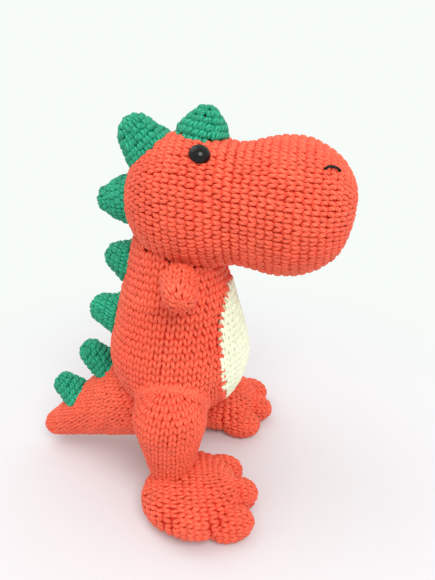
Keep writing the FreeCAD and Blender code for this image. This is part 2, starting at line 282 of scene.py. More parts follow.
# one stitch is two fat strands of yarn in a V; each strand sinks into the fabric at both ends
stitchShape = {
    "tall": 4.3,                        # the height that the strands are drawn for
    "thick": 1.3, "thin": 0.85,         # strand radius at the middle and at its ends
    "foot": 0.5, "top": 1.7,            # how far each end is from the stitch's middle line
    "dip": 1.6, "rise": -0.5,           # how deep the ends sink, and where the middle sits
    "reach": 1.08,                      # strand length as a share of the round's height
    "sides": 7, "rings": 4,
}
# the spikes' stitches are rounder
bobbleShape = {
    "tall": 3.8, "thick": 1.5, "thin": 0.95, "foot": 0.95, "top": 1.35,
    "dip": 2.1, "rise": -0.35, "reach": 0.98, "sides": 7, "rings": 4,
}


def strand(path, radii, sides):
    # a tube along a few points, pointed at both ends, with its own lengthwise and round coordinates
    path = np.array(path, float)
    ways = np.gradient(path, axis=0)
    ways /= np.linalg.norm(ways, axis=1, keepdims=True)
    points, uvs, faces = [path[0] - ways[0] * radii[0] * 0.5], [(0.5, 0.0)], []
    for i, (spot, way, radius) in enumerate(zip(path, ways, radii)):
        sideways = np.cross(way, (0, 0, 1))
        sideways /= np.linalg.norm(sideways)
        other = np.cross(sideways, way)
        for s in range(sides):
            a = 2 * pi * s / sides
            points.append(spot + (sideways * cos(a) + other * sin(a)) * radius)
    points.append(path[-1] + ways[-1] * radii[-1] * 0.5)
    rings, last = len(path), len(points) - 1
    along = [r / (rings + 1) for r in range(rings + 2)]
    for s in range(sides):
        t = (s + 1) % sides
        left, middle, right = s / sides, (s + 0.5) / sides, (s + 1) / sides
        for r in range(rings - 1):
            a, b = 1 + r * sides, 1 + (r + 1) * sides
            near, far = along[r + 1], along[r + 2]
            faces.append(((a + s, b + s, b + t, a + t), [(left, near), (left, far), (right, far), (right, near)]))
        a = 1 + (rings - 1) * sides
        faces.append(((0, 1 + s, 1 + t), [(middle, 0), (left, along[1]), (right, along[1])]))
        faces.append(((last, a + t, a + s), [(middle, 1), (right, along[rings]), (left, along[rings])]))
    return np.array(points), faces


def yarnMesh(name, strands):
    points, faces, coordinates, used = [], [], [], 0
    for p, strandFaces in strands:
        points.append(p)
        for face, uvs in strandFaces:
            faces.append(tuple(i + used for i in face))
            coordinates += uvs
        used += len(p)
    mesh = newMesh(name, np.vstack(points), faces)
    layer = mesh.uv_layers.new(name="yarn")
    layer.data.foreach_set("uv", np.array(coordinates, np.float32).ravel())
    return mesh


def makeStitch(name, shape):
    strands = []
    for side in (-1, 1):
        path = []
        for t in np.linspace(0, 1, shape["rings"]):
            bow = sin(pi * (0.12 + 0.76 * t))
            x = side * (shape["foot"] + (shape["top"] - shape["foot"]) * t ** 0.8)
            y = (t - 0.5) * shape["tall"] * shape["reach"]
            path.append((x, y, shape["rise"] - shape["dip"] * (1 - bow)))
        radii = [shape["thin"] + (shape["thick"] - shape["thin"]) * sin(pi * (0.1 + 0.8 * t))
                 for t in np.linspace(0, 1, shape["rings"])]
        strands.append(strand(path, radii, shape["sides"]))
    return newObject(name, yarnMesh(name, strands))


def makeWhip(name, long, radius):
    path = [(0, (t - 0.5) * long, 0.9 * sin(pi * t) - 0.8) for t in np.linspace(0, 1, 5)]
    radii = [radius * share for share in (0.7, 1, 1, 1, 0.7)]
    return newObject(name, yarnMesh(name, [strand(path, radii, 7)]))


# materials
def nodeTree(name):
    material = bpy.data.materials.new(name)
    material.use_nodes = True
    tree = material.node_tree
    tree.nodes.clear()
    shader = tree.nodes.new("ShaderNodeBsdfPrincipled")
    output = tree.nodes.new("ShaderNodeOutputMaterial")
    tree.links.new(shader.outputs["BSDF"], output.inputs["Surface"])
    return material, tree, shader


def colourOf(red, green, blue):
    # screen colour to scene-linear
    values = [c / 255 for c in (red, green, blue)]
    return [c / 12.92 if c <= 0.04045 else ((c + 0.055) / 1.055) ** 2.4 for c in values] + [1.0]


def maths(tree, operation, first, second=None):
    node = tree.nodes.new("ShaderNodeMath")
    node.operation = operation
    for socket, value in zip(node.inputs, (first, second)):
        if value is None:
            continue
        if isinstance(value, (int, float)):
            socket.default_value = value
        else:
            tree.links.new(value, socket)
    return node.outputs[0]


def mixed(tree, share, first, second, blend="MIX"):
    node = tree.nodes.new("ShaderNodeMix")
    node.data_type = "RGBA"
    node.blend_type = blend
    for socket, value in ((node.inputs["Factor"], share), (node.inputs[6], first), (node.inputs[7], second)):
        if isinstance(value, (int, float, list)):
            socket.default_value = value
        else:
            tree.links.new(value, socket)
    return node.outputs[2]


def spreadOf(tree, value, fromLow, fromHigh, toLow, toHigh):
    node = tree.nodes.new("ShaderNodeMapRange")
    node.interpolation_type = "SMOOTHSTEP"
    tree.links.new(value, node.inputs["Value"])
    limits = {"From Min": fromLow, "From Max": fromHigh, "To Min": toLow, "To Max": toHigh}
    for name, number in limits.items():
        node.inputs[name].default_value = number
    return node.outputs[0]


def yarnMaterial(name, mid, paintedShade, paintedHighlight, sheen, roughness):
    # soft cotton yarn: painted shade, darker and redder, where a strand dives into the fabric, and painted
    # highlights on the plies on top
    material, tree, shader = nodeTree(name)
    uv = tree.nodes.new("ShaderNodeUVMap")
    uv.uv_map = "yarn"
    split = tree.nodes.new("ShaderNodeSeparateXYZ")
    tree.links.new(uv.outputs[0], split.inputs[0])
    around, along = split.outputs[0], split.outputs[1]
    place = tree.nodes.new("ShaderNodeTexCoord")
    tint = tree.nodes.new("ShaderNodeAttribute")
    tint.attribute_name = "tint"
    # how near the middle of its length a point on a strand is; the ends get the painted shade
    middle = maths(tree, "SUBTRACT", 1.0, maths(tree, "ABSOLUTE", maths(tree, "SUBTRACT", maths(
        tree, "MULTIPLY", along, 2.0), 1.0)))
    unshaded = spreadOf(tree, middle, 0.12, 0.78, 0.0, 1.0)
    # the plies wind round the strand
    twist = maths(tree, "ADD", maths(tree, "MULTIPLY", around, 3.0), maths(tree, "MULTIPLY", along, 3.4))
    ply = maths(tree, "ABSOLUTE", maths(tree, "SINE", maths(tree, "MULTIPLY", twist, pi)))
    fuzz = tree.nodes.new("ShaderNodeTexNoise")
    fuzz.inputs["Scale"].default_value = 2600
    fuzz.inputs["Detail"].default_value = 3
    tree.links.new(place.outputs["Object"], fuzz.inputs["Vector"])
    patches = tree.nodes.new("ShaderNodeTexNoise")
    patches.inputs["Scale"].default_value = 45
    patches.inputs["Detail"].default_value = 2
    tree.links.new(place.outputs["Object"], patches.inputs["Vector"])
    # painted shade: a strand's ends, and the ground under the stitches (which has no yarn coordinates), take the
    # darker, redder colour
    colour = mixed(tree, unshaded, paintedShade, mid)
    # painted highlight: the raised plies in the middle of a strand take the lighter colour, in uneven patches
    lit = maths(tree, "MULTIPLY", spreadOf(tree, ply, 0.2, 1.0, 0.0, 0.75), unshaded)
    lightShare = maths(tree, "MULTIPLY", lit, spreadOf(tree, patches.outputs[0], 0.3, 0.7, 0.35, 0.8))
    colour = mixed(tree, lightShare, colour, paintedHighlight)
    shade = spreadOf(tree, maths(tree, "ADD", maths(tree, "MULTIPLY", tint.outputs["Fac"], 0.6), maths(
        tree, "MULTIPLY", fuzz.outputs[0], 0.4)), 0.1, 0.9, 0.86, 1.0)
    grey = tree.nodes.new("ShaderNodeCombineColor")
    for channel in range(3):
        tree.links.new(shade, grey.inputs[channel])
    colour = mixed(tree, 1.0, colour, grey.outputs[0], "MULTIPLY")
    tree.links.new(colour, shader.inputs["Base Color"])
    bump = tree.nodes.new("ShaderNodeBump")
    bump.inputs["Strength"].default_value = 0.55
    bump.inputs["Distance"].default_value = 0.0004
    relief = maths(tree, "ADD", maths(tree, "MULTIPLY", ply, 0.8),
                   maths(tree, "MULTIPLY", fuzz.outputs[0], 0.5))
    tree.links.new(relief, bump.inputs["Height"])
    tree.links.new(bump.outputs[0], shader.inputs["Normal"])
    shader.inputs["Roughness"].default_value = roughness
    shader.inputs["Sheen Weight"].default_value = sheen
    shader.inputs["Sheen Roughness"].default_value = 0.4
    shader.inputs["Sheen Tint"].default_value = paintedHighlight
    shader.inputs["Specular IOR Level"].default_value = 0.35
    return material


yarnColours = {
    # the face of a strand, the painted shade of its sunken ends and the painted highlight of its plies; then sheen
    # and roughness
    "coral": ((241, 86, 60), (230, 32, 14), (254, 130, 95), 0.06, 0.5),
    "green": ((10, 140, 104), (0, 44, 30), (48, 200, 156), 0.05, 0.5),
    "cream": ((244, 248, 220), (226, 212, 172), (248, 252, 232), 0.05, 0.6),
    "black": ((22, 16, 16), (6, 4, 4), (52, 40, 40), 0.1, 0.5),
}
yarns = {}
for name, (mid, paintedShade, paintedHighlight, sheen, roughness) in yarnColours.items():
    yarns[name] = yarnMaterial(name + "Yarn", colourOf(*mid), colourOf(*paintedShade), colourOf(*paintedHighlight), sheen, roughness)


def plainPlastic(name, colour, roughness, bumpScale, bumpHeight, shine):
    material, tree, shader = nodeTree(name)
    place = tree.nodes.new("ShaderNodeTexCoord")
    grain = tree.nodes.new("ShaderNodeTexNoise")
    grain.inputs["Scale"].default_value = bumpScale
    tree.links.new(place.outputs["Object"], grain.inputs["Vector"])
    paler = [min(1.0, c * 1.6 + 0.004) for c in colour[:3]] + [1.0]
    mottled = mixed(tree, spreadOf(tree, grain.outputs[0], 0.3, 0.7, 0.0, 0.25), colour, paler)
    tree.links.new(mottled, shader.inputs["Base Color"])
    bump = tree.nodes.new("ShaderNodeBump")
    bump.inputs["Strength"].default_value = 0.3
    bump.inputs["Distance"].default_value = bumpHeight
    tree.links.new(grain.outputs[0], bump.inputs["Height"])
    tree.links.new(bump.outputs[0], shader.inputs["Normal"])
    shader.inputs["Roughness"].default_value = roughness
    shader.inputs["Specular IOR Level"].default_value = shine
    return material


eyePlastic = plainPlastic("eyePlastic", colourOf(10, 7, 8), 0.1, 900, 0.00001, 0.26)
washerPlastic = plainPlastic("washerPlastic", colourOf(214, 210, 200), 0.45, 700, 0.00005, 0.5)


def fibreMaterial():
    material, tree, shader = nodeTree("polyesterFibre")
    place = tree.nodes.new("ShaderNodeTexCoord")
    wisps = tree.nodes.new("ShaderNodeTexNoise")
    wisps.inputs["Scale"].default_value = 320
    wisps.inputs["Detail"].default_value = 6
    wisps.inputs["Distortion"].default_value = 2.5
    tree.links.new(place.outputs["Object"], wisps.inputs["Vector"])
    tree.links.new(mixed(tree, wisps.outputs[0], colourOf(226, 226, 224), colourOf(252, 252, 250)),
                   shader.inputs["Base Color"])
    bump = tree.nodes.new("ShaderNodeBump")
    bump.inputs["Distance"].default_value = 0.0008
    tree.links.new(wisps.outputs[0], bump.inputs["Height"])
    tree.links.new(bump.outputs[0], shader.inputs["Normal"])
    shader.inputs["Roughness"].default_value = 0.9
    shader.inputs["Sheen Weight"].default_value = 0.4
    return material


fibre = fibreMaterial()

def crochetTree():
    # the node tree that works stitches into a cover
    tree = bpy.data.node_groups.new("crochet", "GeometryNodeTree")
    for name, kind in (("Points", "Geometry"), ("Stitch", "Object"), ("Ground", "Object"), ("Unevenness", "Float"),
                       ("Seed", "Int"), ("Yarn", "Material")):
        tree.interface.new_socket(name=name, in_out="INPUT", socket_type="NodeSocket" + kind)
    tree.interface.new_socket(name="Fabric", in_out="OUTPUT", socket_type="NodeSocketGeometry")
    add, link = tree.nodes.new, tree.links.new
    given, result = add("NodeGroupInput"), add("NodeGroupOutput")
    stitch, ground = add("GeometryNodeObjectInfo"), add("GeometryNodeObjectInfo")
    link(given.outputs["Stitch"], stitch.inputs["Object"])
    link(given.outputs["Ground"], ground.inputs["Object"])
    fields = {}
    for name in ("along", "out", "size"):
        fields[name] = add("GeometryNodeInputNamedAttribute")
        fields[name].data_type = "FLOAT_VECTOR"
        fields[name].inputs["Name"].default_value = name
    turn = add("FunctionNodeAxesToRotation")
    turn.primary_axis, turn.secondary_axis = "Z", "X"
    link(fields["out"].outputs[0], turn.inputs[0])
    link(fields["along"].outputs[0], turn.inputs[1])
    placed = add("GeometryNodeInstanceOnPoints")
    link(given.outputs["Points"], placed.inputs["Points"])
    link(stitch.outputs["Geometry"], placed.inputs["Instance"])
    link(turn.outputs[0], placed.inputs["Rotation"])
    link(fields["size"].outputs[0], placed.inputs["Scale"])
    wobble = add("FunctionNodeRandomValue")
    wobble.data_type = "FLOAT_VECTOR"
    least = add("ShaderNodeMath")
    least.operation = "MULTIPLY"
    least.inputs[1].default_value = -1
    link(given.outputs["Unevenness"], least.inputs[0])
    link(least.outputs[0], wobble.inputs[0])
    link(given.outputs["Unevenness"], wobble.inputs[1])
    link(given.outputs["Seed"], wobble.inputs[8])
    turned = add("GeometryNodeRotateInstances")
    link(placed.outputs[0], turned.inputs["Instances"])
    link(wobble.outputs[0], turned.inputs["Rotation"])
    tint = add("FunctionNodeRandomValue")
    link(given.outputs["Seed"], tint.inputs[8])
    tinted = add("GeometryNodeStoreNamedAttribute")
    tinted.domain = "INSTANCE"
    tinted.inputs["Name"].default_value = "tint"
    link(turned.outputs[0], tinted.inputs["Geometry"])
    link(tint.outputs[1], tinted.inputs["Value"])
    real, joined = add("GeometryNodeRealizeInstances"), add("GeometryNodeJoinGeometry")
    link(tinted.outputs[0], real.inputs[0])
    link(ground.outputs["Geometry"], joined.inputs[0])
    link(real.outputs[0], joined.inputs[0])
    coloured = add("GeometryNodeSetMaterial")
    link(joined.outputs[0], coloured.inputs["Geometry"])
    link(given.outputs["Yarn"], coloured.inputs["Material"])
    link(coloured.outputs[0], result.inputs["Fabric"])
    return tree


crochet = crochetTree()
socketNames = {item.name: item.identifier for item in crochet.interface.items_tree if item.in_out == "INPUT"}


def crocheted(name, stitches, ground, stitch, yarn, wobble, seed):
    # the finished fabric of one piece: stitches over their closed ground, as one plain mesh
    mesh = newMesh(name + "Points", stitches["at"], [])
    for key in ("along", "out", "size"):
        mesh.attributes.new(key, "FLOAT_VECTOR", "POINT").data.foreach_set(
            "vector", stitches[key].astype(np.float32).ravel())
    spots = newObject(name + "Points", mesh)
    groundObject = newObject(name + "Ground", ground)
    modifier = spots.modifiers.new("crochet", "NODES")
    modifier.node_group = crochet
    for socket, value in (("Stitch", stitch), ("Ground", groundObject), ("Unevenness", float(wobble)),
                          ("Seed", int(seed)), ("Yarn", yarn)):
        modifier[socketNames[socket]] = value
    bpy.context.view_layer.update()
    evaluated = spots.evaluated_get(bpy.context.evaluated_depsgraph_get())
    made = bpy.data.meshes.new_from_object(evaluated)
    made.name = name
    for thing in (spots, groundObject):
        bpy.data.objects.remove(thing)
    made.polygons.foreach_set("use_smooth", [True] * len(made.polygons))
    fabric = newObject(name, made)
    print(f"{name}: {len(stitches['at'])} stitches, {len(made.polygons)} faces")
    return fabric


def settle(piece, body, nodes):
    if isinstance(body, tuple):
        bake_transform(piece)
    else:
        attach(piece, body)
    if nodes:
        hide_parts(*nodes)
    return piece


def lumpy(shape, inset, size=1.2):
    # stuffing is a little uneven under its cover
    def distance(p):
        waves = np.sin(p[:, 0] * 0.31 + 1.3) * np.sin(p[:, 1] * 0.27 + 0.4) * np.sin(p[:, 2] * 0.29 + 2.1)
        return shape(p) + inset + size * 0.5 * (1 + waves)
    return distance


def stuffed(name, shape, start, end, body):
    grid = aroundSpine(lumpy(shape, 4.2), start, end, ringPoints=40)
    filling = newObject(name + "_filling", skinsMesh(name + "_filling", [grid[::3]]))
    filling.data.materials.append(fibre)
    settle(filling, body, [name + "_stuffing"])


shadeGroundInset = 1.35   # the ground is a sheet in the painted shade colour, set in so that it shows only between strands
coverStitch = makeStitch("stitch", stitchShape)
bobble = makeStitch("bobble", bobbleShape)
seam = {
    "stitchLong": 4.8, "stitchRadius": 0.95,
    "panelEvery": 4.2, "panelJitter": 0.12, "panelWobble": 0.22,
    "armEvery": 4.0, "armJitter": 0.1, "armWobble": 0.2,
}
whip = makeWhip("whip", seam["stitchLong"], seam["stitchRadius"])

# shapes of the pieces, in millimetres. Those of a cover end with its stitches:
# lean is the share of a stitch that each round is turned by, jitter and wobble how uneven they are,
# and hidden how deep in a neighbour a stitch is left out
head = {
    "craniumRadius": 35.4, "craniumForward": 0.9, "snoutRadius": 35.2, "snoutReach": 51.8, "snoutDrop": 1.4,
    "waist": 31.0, "waistDrop": 1.4,      # the saddle between them, lower on top
    "nose": 35.0, "noseSoft": 6.0,        # how far in front of the snout's middle its end is pressed flat
    "soft": 8.0, "fill": 0.95,
    "stitchWide": 5.0, "stitchTall": 4.3, "lean": 0.1, "jitter": 0.055, "wobble": 0.09, "hidden": 2.5,
}
neck = pivots["head_turn"]
cranium = neck - np.array([0, head["craniumForward"], 0])
snout = neck - np.array([0, head["snoutReach"], head["snoutDrop"]])
saddle = np.array([0, 0, -head["waistDrop"]])
headShape = softly(ball(cranium, head["craniumRadius"]), roundedCone(
    cranium + saddle, snout + saddle, head["waist"], head["waist"]), head["soft"])
headShape = softly(headShape, ball(snout, head["snoutRadius"]), head["soft"])
noseFlat = plane(snout - (0, head["nose"], 0), (0, 0.982, 0.187))
headShape = lessSoftly(headShape, noseFlat, head["noseSoft"])

torso = {
    "radius": 41.0, "low": 86.0, "topRadius": 25.7, "top": 145.0, "back": pivots["tail_wag"][1] - 27.5,
    "seatGap": 0.6, "seatSoft": 2.0, "fill": 0.95,
    "stitchWide": 4.9, "stitchTall": 4.1, "lean": 0.08, "jitter": 0.055, "wobble": 0.09, "hidden": 0.4,
}
torsoLow = np.array([middleX, torso["back"], torso["low"]])
torsoTop = np.array([middleX, torso["back"], torso["top"]])
pearShape = roundedCone(torsoLow, torsoTop, torso["radius"], torso["topRadius"])

tail = {
    "rootRadius": 27.0, "tipRadius": 8.0, "tipBack": 62.0, "tipDown": 33.5, "fill": 0.9,
    "stitchWide": 4.4, "stitchTall": 3.9, "lean": 0.3, "jitter": 0.07, "wobble": 0.1, "hidden": 1.5,
}
tailRoot = pivots["tail_wag"]
tailTip = tailRoot + np.array([0, tail["tipBack"], -tail["tipDown"]])
tailShape = roundedCone(tailRoot, tailTip, tail["rootRadius"], tail["tipRadius"])

leg = {
    "thigh": 20.5, "ankle": 11.0, "ankleBack": 1.0, "ankleZ": 24.0, "keel": 18.0,
    "blend": 7.0, "bendFrom": 68.0, "bendTo": 42.0,     # how softly it meets the belly, and two heights on the leg
    "tailWag": 12.0, "tailGap": 1.5,                    # degrees, and the room left beside the tail
    "fill": 0.95,
    "stitchWide": 4.8, "stitchTall": 4.1, "lean": 0.08, "jitter": 0.06, "wobble": 0.09, "hidden": 1.2,
}
foot = {
    "heel": (21, 19, 14), "heelForward": 1.5, "instep": (30.5, 26, 14.5), "instepForward": 12.0,
    "toe": (10, 14, 10), "toeSpread": 19.5, "toeForward": 35.5, "outerBack": 6.0, "outward": 9.5,
    "sole": 1.5, "turn": {rightSide: 17.0, leftSide: -2.0},
    "moved": {rightSide: (0, 0, 0), leftSide: (2.5, -2.5, 0)},
    "fill": 0.9,
    "stitchWide": 4.7, "stitchTall": 4.0, "lean": 0.1, "jitter": 0.065, "wobble": 0.1, "hidden": 0.9,
}
arm = {
    "radius": 9.2, "long": 9.0, "forward": 16.0, "down": 12.0, "seamAbove": 2.2,
    "fill": 0.85,
    "stitchWide": 4.6, "stitchTall": 4.0, "lean": 0.1, "jitter": 0.07, "wobble": 0.1, "hidden": 1.2,
}
words = {rightSide: "right", leftSide: "left"}


def filletOf(limb, sewn, most=6.0):
    # the limb with the slope beside it filled, up to the sewn surface
    return lambda p: np.maximum(sewn(p), limb(p) - most)


legs = {}
for side in (rightSide, leftSide):
    hip = pivots[words[side] + "_leg_swing"]
    ankle = np.array([hip[0], hip[1] + leg["ankleBack"], leg["ankleZ"] - 2.0])
    inner = plane((middleX + side * leg["keel"], 0, 0), (side, 0, 0))
    # the back of the thigh gives way to the tail when it wags to this side
    wag = radians(leg["tailWag"]) * side
    wagTurn = np.array([[cos(wag), -sin(wag), 0], [sin(wag), cos(wag), 0], [0, 0, 1]])
    wagged = tailRoot + (tailTip - tailRoot) @ wagTurn
    tailRoom = grown(roundedCone(tailRoot, wagged, tail["rootRadius"], tail["tipRadius"]), leg["tailGap"])
    solid = lessSoftly(roundedCone(hip, ankle, leg["thigh"], leg["ankle"]), inner, 3.0)
    legs[side] = {"hip": hip, "ankle": ankle, "shape": lessSoftly(solid, tailRoom, 2.5)}
    # the thigh runs into the belly in one smooth slope
    legs[side]["sewn"] = softly(legs[side]["shape"], pearShape, leg["blend"])
    legs[side]["under"] = filletOf(legs[side]["shape"], legs[side]["sewn"])

feet = {}
for side in (rightSide, leftSide):
    turn = radians(foot["turn"][side])
    way = np.array([[cos(turn), -sin(turn), 0], [sin(turn), cos(turn), 0], [0, 0, 1]])
    spot = legs[side]["hip"] * (1, 1, 0) + foot["moved"][side]
    floor = plane((0, 0, 0.75), (0, 0, 1))

    def inPlace(x, y, z):
        return spot + way @ np.array([side * foot["outward"] + x, y, z], float)

    heelAt = inPlace(0, -foot["heelForward"] + 1, foot["heel"][2] - foot["sole"])
    instepAt = inPlace(0, -foot["instepForward"], foot["instep"][2] - foot["sole"])
    solid = softly(egg(heelAt, foot["heel"], turn), egg(instepAt, foot["instep"], turn), 5.0)
    parts = [(lessSoftly(solid, floor, 2.0), inPlace(0, 2, 12), inPlace(0, -16, 12))]
    for place in (-1, 0, 1):
        forward = -foot["toeForward"] + (foot["outerBack"] if place else 0)
        toeAt = inPlace(place * foot["toeSpread"], forward, foot["toe"][2] - foot["sole"])
        toe = lessSoftly(egg(toeAt, foot["toe"], turn), floor, 2.0)
        back = inPlace(place * foot["toeSpread"] * 0.96, forward + 6, foot["toe"][2] - foot["sole"] - 0.2)
        parts.append((toe, back, toeAt + way @ np.array([0, -4.5, 0.0])))
    feet[side] = parts


def stitchesOver(shape, start, end, sizes, openStart=False, upright=(0, 0, 1)):
    grid = aroundSpine(shape, start, end, openStart=openStart, upright=upright)
    return stitchRounds(shape, grid, sizes["stitchWide"], sizes["stitchTall"], sizes["lean"])


def groundOf(shape, start, end, openStart=False, upright=(0, 0, 1)):
    return aroundSpine(grown(shape, -shadeGroundInset), start, end, 64, openStart, upright=upright)[::2]


def whipsAround(ring, host, shape, every):
    # sewing stitches across a closed line of points, seen from outside both pieces
    closed = np.vstack([ring, ring[:1]])
    length = np.concatenate([[0], np.cumsum(np.linalg.norm(np.diff(closed, axis=0), axis=1))])
    number = int(length[-1] / every)
    steps = np.arange(number) / number * length[-1]
    at = np.stack([np.interp(steps, length, closed[:, i]) for i in range(3)], 1)
    along = np.roll(at, -1, 0) - np.roll(at, 1, 0)
    along /= np.linalg.norm(along, axis=1, keepdims=True)
    out = outwards(host, at) + outwards(shape, at)
    out -= along * (out * along).sum(1, keepdims=True)
    out /= np.linalg.norm(out, axis=1, keepdims=True)
    return {"at": at + out * 0.5, "along": along, "out": out, "size": np.ones((number, 3))}


def seamLine(grid, host, above):
    # the line on a piece's surface that is a little above the one that it is sewn to
    depths = host(grid.reshape(-1, 3)).reshape(grid.shape[:2]) - above
    ring = []
    for column in range(grid.shape[1]):
        outside = np.nonzero(depths[:, column] > 0)[0]
        row = max(1, outside[0]) if len(outside) else 1
        a, b = depths[row - 1, column], depths[row, column]
        share = np.clip(a / (a - b), 0, 1) if a != b else 0.5
        ring.append(grid[row - 1, column] * (1 - share) + grid[row, column] * share)
    return np.array(ring)


# belly panel outline, on the front of the torso
panel = {
    "halfWidth": 31.0, "halfHeight": 45.0, "depth": 22.0, "z": 92.0, "proud": 1.1,
    "firstWidth": 29.0, "firstHeight": 44.0,      # a first outline, drawn in until it fits
    "stitchWide": 4.6, "stitchTall": 3.9, "lean": 0.0, "wobble": 0.07,
}
panelMiddle = np.array([middleX, torso["back"] - torso["radius"], panel["z"]])
panelHalf = np.array([panel["halfWidth"], panel["depth"], panel["halfHeight"]])


def panelTest(points):
    return (((points - panelMiddle) / panelHalf) ** 2).sum(1)


print("head and spikes")
headStitches = stitchesOver(headShape, snout, cranium, head)
spikes = {
    # lean is in degrees from upright towards the tail, tip a share of the radius
    "head_spike_front": {"on": "head", "radius": 13.5, "height": 12.0, "lean": -12.5, "tip": 0.62},
    "head_spike_top": {"on": "head", "radius": 13.5, "height": 16.5, "lean": 40.0, "tip": 0.72},
    "head_spike_back": {"on": "head", "radius": 13.5, "height": 15.5, "lean": 92.0, "tip": 0.6},
    "back_spike_upper": {"on": "torso", "radius": 12.5, "height": 14.0, "lean": 74.0, "tip": 0.62, "z": 140.0},
    "back_spike_lower": {"on": "torso", "radius": 13.0, "height": 17.5, "lean": 76.0, "tip": 0.66, "z": 105.0},
    "tail_spike_upper": {"on": "tail", "radius": 9.8, "height": 20.5, "lean": 46.0, "tip": 0.74, "along": 3.2},
    "tail_spike_lower": {"on": "tail", "radius": 9.8, "height": 15.5, "lean": 46.0, "tip": 0.74, "along": 37.0},
}
spikeSink = 0.3
tailWay = (tailTip - tailRoot) / np.linalg.norm(tailTip - tailRoot)
taper = np.arcsin((tail["rootRadius"] - tail["tipRadius"]) / np.linalg.norm(tailTip - tailRoot))
tailUp = np.array([0, -tailWay[2], tailWay[1]]) * cos(taper) + tailWay * sin(taper)
tailDown = np.array([0, tailUp[2], -tailUp[1]])
hosts = {"head": headShape, "torso": pearShape, "tail": tailShape}
for name, spike in spikes.items():
    lean = radians(spike["lean"])
    spike["out"] = np.array([0, sin(lean), cos(lean)])
    if spike["on"] == "head":
        at = neck + spike["out"] * (head["craniumRadius"] + 0.6)
    elif spike["on"] == "torso":
        at = castOnto(pearShape, torsoLow * (1, 1, 0) + (0, 0, spike["z"]), (0, 1, 0))
    else:
        at = tailRoot + tailUp * tail["rootRadius"] + tailDown * spike["along"]
    tip = spike["radius"] * spike["tip"]
    spike["start"] = at - spike["out"] * spike["radius"] * spikeSink
    spike["end"] = at + spike["out"] * (spike["height"] - tip)
    spike["shape"] = roundedCone(spike["start"], spike["end"], spike["radius"], tip)

spikeStitch = {"stitchWide": 4.1, "stitchTall": 3.6, "lean": 0.5, "jitter": 0.1, "wobble": 0.25, "hidden": 0.6}
for name, spike in spikes.items():
    host = hosts[spike["on"]]
    stitches = stitchesOver(spike["shape"], spike["start"], spike["end"], spikeStitch, True, (1, 0, 0))
    stitches = outsideOf(uneven(stitches, spikeStitch["jitter"], len(name)), [host], spikeStitch["hidden"])
    skin = groundOf(spike["shape"], spike["start"], spike["end"], True, (1, 0, 0))
    ground = skinsMesh(name + "_ground", [skin])
    piece = crocheted(name + "_knit", stitches, ground, bobble, yarns["green"], spikeStitch["wobble"], 3)
    settle(piece, spike["on"], [name])

headSpikes = [spike["shape"] for spike in spikes.values() if spike["on"] == "head"]
headStitches = outsideOf(uneven(headStitches, head["jitter"], 2), headSpikes, head["hidden"])
headGround = skinsMesh("head_ground", [groundOf(headShape, snout, cranium)])
headKnit = crocheted("head_knit", headStitches, headGround, coverStitch, yarns["coral"], head["wobble"], 11)
settle(headKnit, "head", ["head_cover"])
stuffed("head", headShape, snout, cranium, "head")

print("torso and belly panel")
# hollowed a little where the head, the legs and the tail sit
torsoShape = pearShape
seats = [ball(neck, head["craniumRadius"] + torso["seatGap"] + 0.5),
         ball(tailRoot, tail["rootRadius"] + torso["seatGap"]),
         grown(legs[rightSide]["shape"], torso["seatGap"]), grown(legs[leftSide]["shape"], torso["seatGap"])]
for seat in seats:
    torsoShape = lessSoftly(torsoShape, seat, torso["seatSoft"])
chestTop = torsoTop - np.array([0, 0, 14.0])
sewnTorso = softly(pearShape, legs[rightSide]["shape"], leg["blend"])
sewnTorso = softly(sewnTorso, legs[leftSide]["shape"], leg["blend"])
torsoStitches = pulledOnto(stitchesOver(pearShape, torsoLow, torsoTop, torso), sewnTorso)
torsoStitches = outsideOf(uneven(torsoStitches, torso["jitter"], 4), seats[:2], torso["hidden"])
for side in (rightSide, leftSide):
    nearLeg = legs[side]["shape"](torsoStitches["at"]) < pearShape(torsoStitches["at"]) - 1.3
    torsoStitches = only(torsoStitches, ~nearLeg)
torsoStitches = only(torsoStitches, panelTest(torsoStitches["at"]) > 0.98)
torsoGround = skinsMesh("torso_ground", [groundOf(torsoShape, torsoLow, chestTop)])
torsoKnit = crocheted("torso_knit", torsoStitches, torsoGround, coverStitch, yarns["coral"], torso["wobble"], 5)
settle(torsoKnit, "torso", ["torso_cover"])
stuffed("torso", torsoShape, torsoLow, chestTop, "torso")

# the panel is a thin patch of its own stitches
panelShape = grown(pearShape, panel["proud"])
panelStitches = stitchesOver(panelShape, torsoLow, torsoTop, panel)
panelStitches = only(panelStitches, panelTest(panelStitches["at"]) < 0.96)
panelStitches["size"] = panelStitches["size"] * (1, 1, 0.75)


def onPear(x, z, lift):
    # the torso's front surface, lifted a little, above a point of the outline's plane
    origins = np.stack([x, np.full_like(x, torsoLow[1]), z], 1)
    travel = np.full(len(x), 70.0)
    shape = grown(pearShape, lift)
    for _ in range(48):
        travel -= shape(origins + np.array([0, -1, 0]) * travel[:, None]) * 0.8
    return origins + np.array([0, -1, 0]) * travel[:, None]


turns = np.linspace(0, 2 * pi, 72, endpoint=False)
edge = np.ones(72)


def patchRing(share, lift):
    # a ring of the patch, at a share of the way out to its edge
    x = middleX + panel["firstWidth"] * edge * share * np.cos(turns)
    return onPear(x, panel["z"] + panel["firstHeight"] * edge * share * np.sin(turns), lift)


